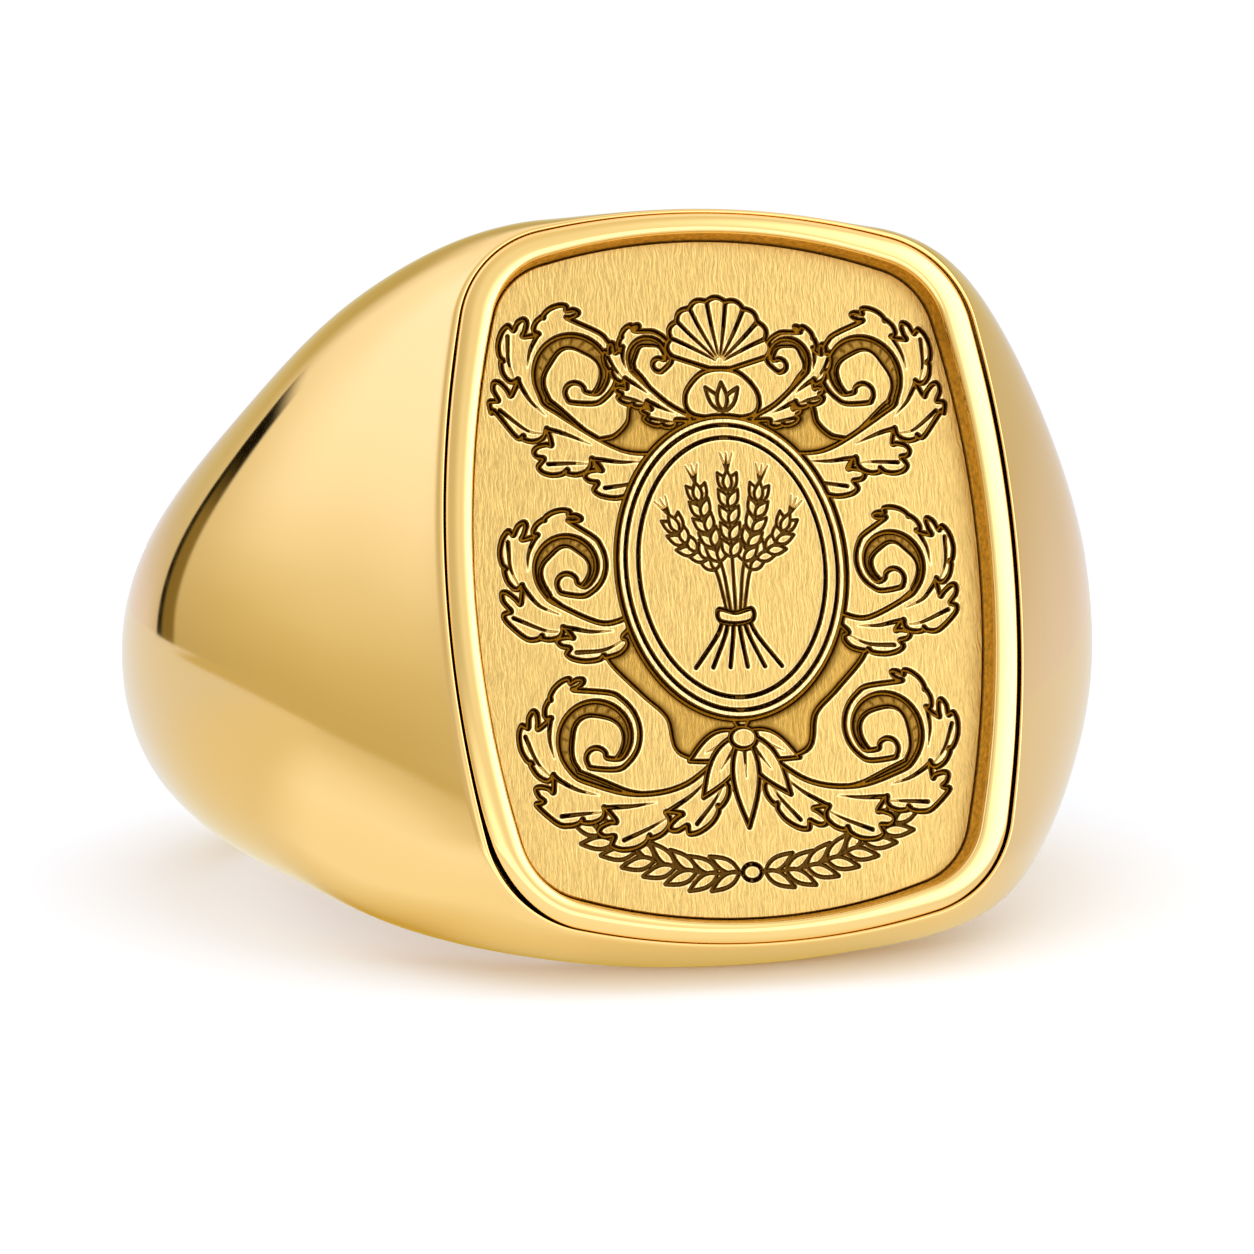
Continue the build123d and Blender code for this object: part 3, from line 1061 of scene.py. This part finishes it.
board_radius = 95.0
board_top = min(vertex.co.z for vertex in shank_body.data.vertices)
board = bpy.data.meshes.new("table_board")
ring_turns = np.linspace(0, 2 * pi, 97)[:-1]
board.from_pydata(
    [(board_radius * MM * cos(t), board_radius * MM * sin(t), board_top) for t in ring_turns],
    [], [tuple(range(len(ring_turns)))],
)
table_board = bpy.data.objects.new("table_board", board)
bpy.context.scene.collection.objects.link(table_board)
board_white = bpy.data.materials.new("board_white")
board_white.use_nodes = True
board_tree = board_white.node_tree
white = board_tree.nodes["Principled BSDF"]
white.inputs["Roughness"].default_value = 0.9
white.inputs["Specular IOR Level"].default_value = 0.0
white.inputs["Emission Strength"].default_value = 1.0
board_place = object_place(board_tree)
to_the_right, to_the_back = (
    distance_along(board_tree, board_place, direction) for direction in ((1, 0, 0), (0, 1, 0))
)


def board_share(direction, low, high):
    """Smooth rise over the board in a direction, between two distances in millimetres."""
    spot = distance_along(board_tree, board_place, (*direction, 0))
    return smooth_rise(board_tree, spot, low, high)


# Painted reflection: the glow that the gold mirrors of the board, by distance from the middle in
# millimetres: painted shade beside the ring, light around it and dimmer far out. Beside its left
# shoulder it grows light sooner.
centre_distance = calculate(
    board_tree, "SQRT",
    calculate(
        board_tree, "ADD", calculate(board_tree, "POWER", to_the_right, 2.0),
        calculate(board_tree, "POWER", to_the_back, 2.0),
    ),
)
sooner = product(board_tree, board_share((-0.95, 0.3), 3.5, 8), 2.0)
mirrored = colour_ramp(
    board_tree, calculate(board_tree, "ADD", centre_distance, sooner), 0.0, board_radius,
    [
        (12, 0.62, 0.42, 0.06), (13.8, 0.88, 0.78, 0.44), (16, 1.08, 1.08, 0.93),
        (24, 1.12, 1.15, 1.1), (45, 0.9, 0.88, 0.7), (90, 0.65, 0.59, 0.34),
    ],
)
# Painted patches over that: even beside the band on the left, cooler and dimmer behind and to the
# right, a bright glow far in front, and dark far out on the left
left_front = product(board_tree, board_share((-1, 0), 5, 10), board_share((0, 1), -7.5, -3))
far_left = product(board_tree, board_share((-1, 0), 59, 67), board_share((0, -1), -48, -34))
for share, colour in (
    (left_front, (0.885, 0.855, 0.66)),
    (board_share((0, 1), -4, 14), (0.84, 0.86, 0.86)),
    (board_share((1, 0), 2, 16), (0.84, 0.84, 0.82)),
    (board_share((0.2, -0.98), 22, 45), (2.0, 2.0, 1.9)),
    (far_left, (0.67, 0.6, 0.33)),
):
    mirrored = blend(board_tree, share, mirrored, colour)
# Glossy rays see the board nearly black, glowing with the painted reflection; the camera sees it white.
glossy = add_node(board_tree, "ShaderNodeLightPath").outputs["Is Glossy Ray"]
board_colour = blend(board_tree, glossy, (0.9, 0.93, 1.0), (0.02, 0.02, 0.02))
board_tree.links.new(board_colour, white.inputs["Base Color"])
board_tree.links.new(blend(board_tree, glossy, (0, 0, 0), mirrored), white.inputs["Emission Color"])
board.materials.append(board_white)

# ---------------------------------------------------------------------------------------------
# Light: a soft room with pale walls, brightest high on the left and dimmer and warmer low down. A
# white screen stands to the right of the front, and a narrow black card behind on the left.
# ---------------------------------------------------------------------------------------------

world = bpy.data.worlds.new("soft_room")
bpy.context.scene.world = world
world.use_nodes = True
sky = world.node_tree
background = sky.nodes["Background"]
world_strength = 2.0
background.inputs["Strength"].default_value = world_strength


def room_light(*colour):
    """Colour for the world that, at its strength, shows as this red, green and blue, or one grey."""
    return tuple(part / world_strength for part in (colour * 3)[:3])


# Direction in degrees: elevation over the horizon, and bearing from the front, positive to the right
room_place = add_node(sky, "ShaderNodeTexCoord").outputs["Generated"]
parts = add_node(sky, "ShaderNodeSeparateXYZ", {0: room_place})
elevation = calculate(sky, "DEGREES", calculate(sky, "ARCSINE", parts.outputs["Z"]))
forwards = product(sky, parts.outputs["Y"], -1.0)
bearing = calculate(sky, "DEGREES", calculate(sky, "ARCTAN2", parts.outputs["X"], forwards))


def wall(levels):
    """Light of one wall of the room: red, green and blue at elevations in degrees."""
    stops = [(height, *room_light(*colour)) for height, *colour in levels]
    return colour_ramp(sky, elevation, -10.0, 90.0, stops, "CARDINAL")


def patch(bearings=(), elevations=()):
    """Share of a soft patch of the room, between pairs of bearings and elevations it fades over."""
    shares = [smooth_rise(sky, bearing, *pair) for pair in bearings]
    shares += [smooth_rise(sky, elevation, *pair) for pair in elevations]
    return product(sky, *shares)


left_wall = wall([
    (-6, 0.69, 0.63, 0.36), (0, 0.73, 0.67, 0.41), (5, 0.85, 0.81, 0.58), (10, 1.0, 1.01, 0.9),
    (15, 1.16, 1.2, 1.25), (21, 1.25, 1.33, 1.5), (30, 1.3, 1.39, 1.65), (50, 1.3, 1.39, 1.65),
    (90, 1.1, 1.1, 1.05),
])
back_wall = wall([
    (-6, 0.88, 0.86, 0.92), (0, 0.80, 0.77, 0.76), (5, 0.73, 0.69, 0.58), (10, 0.71, 0.67, 0.46),
    (16, 0.68, 0.62, 0.34), (22, 0.62, 0.55, 0.26), (36, 0.66, 0.61, 0.36), (48, 1.08, 1.08, 1.0),
    (90, 1.1, 1.1, 1.05),
])
front_wall = wall([
    (-6, 0.8, 0.76, 0.6), (0, 0.76, 0.73, 0.58), (8, 0.74, 0.71, 0.55), (18, 0.74, 0.7, 0.53),
    (40, 0.8, 0.75, 0.55), (90, 1.0, 0.92, 0.66),
])
side_wall = wall([
    (-6, 0.6, 0.55, 0.33), (0, 0.68, 0.63, 0.41), (5, 0.75, 0.71, 0.5), (10, 0.83, 0.8, 0.62),
    (15, 0.9, 0.88, 0.74), (20, 1.0, 1.0, 0.9), (30, 1.14, 1.18, 1.2), (48, 1.2, 1.25, 1.3),
    (90, 1.1, 1.1, 1.05),
])
# The walls run into each other. Before them, from the front to the right, are a dim gap high up on
# the left, a low white screen, and a tall white screen that begins softly beside the front.
room = blend(sky, patch([(-60, -84)]), front_wall, left_wall)
room = blend(sky, patch([(-98, -134)]), room, side_wall)
back_part = calculate(sky, "MAXIMUM", patch([(-134, -156)]), patch([(84, 106)]))
for share, colour in (
    (patch([(-52, -8)], [(78, 50)]), room_light(1.04, 1.04, 0.9)),
    (patch([(-60, -24), (108, 84)], [(16, 3)]), room_light(2.0, 2.0, 1.9)),
    (patch([(14, 50), (108, 84)], [(64, 38)]), room_light(2.7, 2.7, 2.64)),
    (back_part, back_wall),
):
    room = blend(sky, share, room, colour)

# The black card, with a little light on its face
card = patch([(-144.6, -143.6), (-132, -134.5)], [(-9, -8), (24, 20)])
card_face = patch([(-142, -139.5)], [(18, 10)])
card_colour = blend(sky, card_face, room_light(0.008, 0.006, 0.002), room_light(0.26, 0.2, 0.06))
reflected = blend(sky, card, room, card_colour)

# The table is lit evenly, with more light low from the left of the front, and the ring stands
# before plain white.
ray = add_node(sky, "ShaderNodeLightPath")
low_front = patch([(-100, -70), (0, -30)], [(22, 14)])
on_table = blend(sky, low_front, room_light(1.04), room_light(20.0))
lighting = blend(sky, ray.outputs["Is Diffuse Ray"], reflected, on_table)
shown = blend(sky, ray.outputs["Is Camera Ray"], lighting, room_light(1.0))
sky.links.new(shown, background.inputs["Color"])

# ---------------------------------------------------------------------------------------------
# Camera: low in front of the ring and a little to its left, with a portrait lens. It is rolled
# less than a degree and looks a little past the ring.
# ---------------------------------------------------------------------------------------------

camera_bearing, camera_elevation, camera_roll = -15.466, 7.41, 0.696
camera_distance = 75.61
lens = bpy.data.cameras.new("camera")
lens.sensor_width = 36.0
lens.lens = 78.885
lens.shift_x, lens.shift_y = 0.0248, 0.0149
lens.clip_start = 0.001
camera = bpy.data.objects.new("camera", lens)
bpy.context.scene.collection.objects.link(camera)
swing, rise, roll = map(radians, (camera_bearing, camera_elevation, camera_roll))
towards = Vector((sin(swing) * cos(rise), -cos(swing) * cos(rise), sin(rise)))
level = Vector((cos(swing), sin(swing), 0))
plumb = towards.cross(level)
axes = Matrix((level * cos(roll) + plumb * sin(roll), plumb * cos(roll) - level * sin(roll), towards))
camera.matrix_world = Matrix.Translation(towards * camera_distance * MM) @ axes.transposed().to_4x4()
bpy.context.scene.camera = camera
bpy.context.scene.view_settings.view_transform = "Standard"
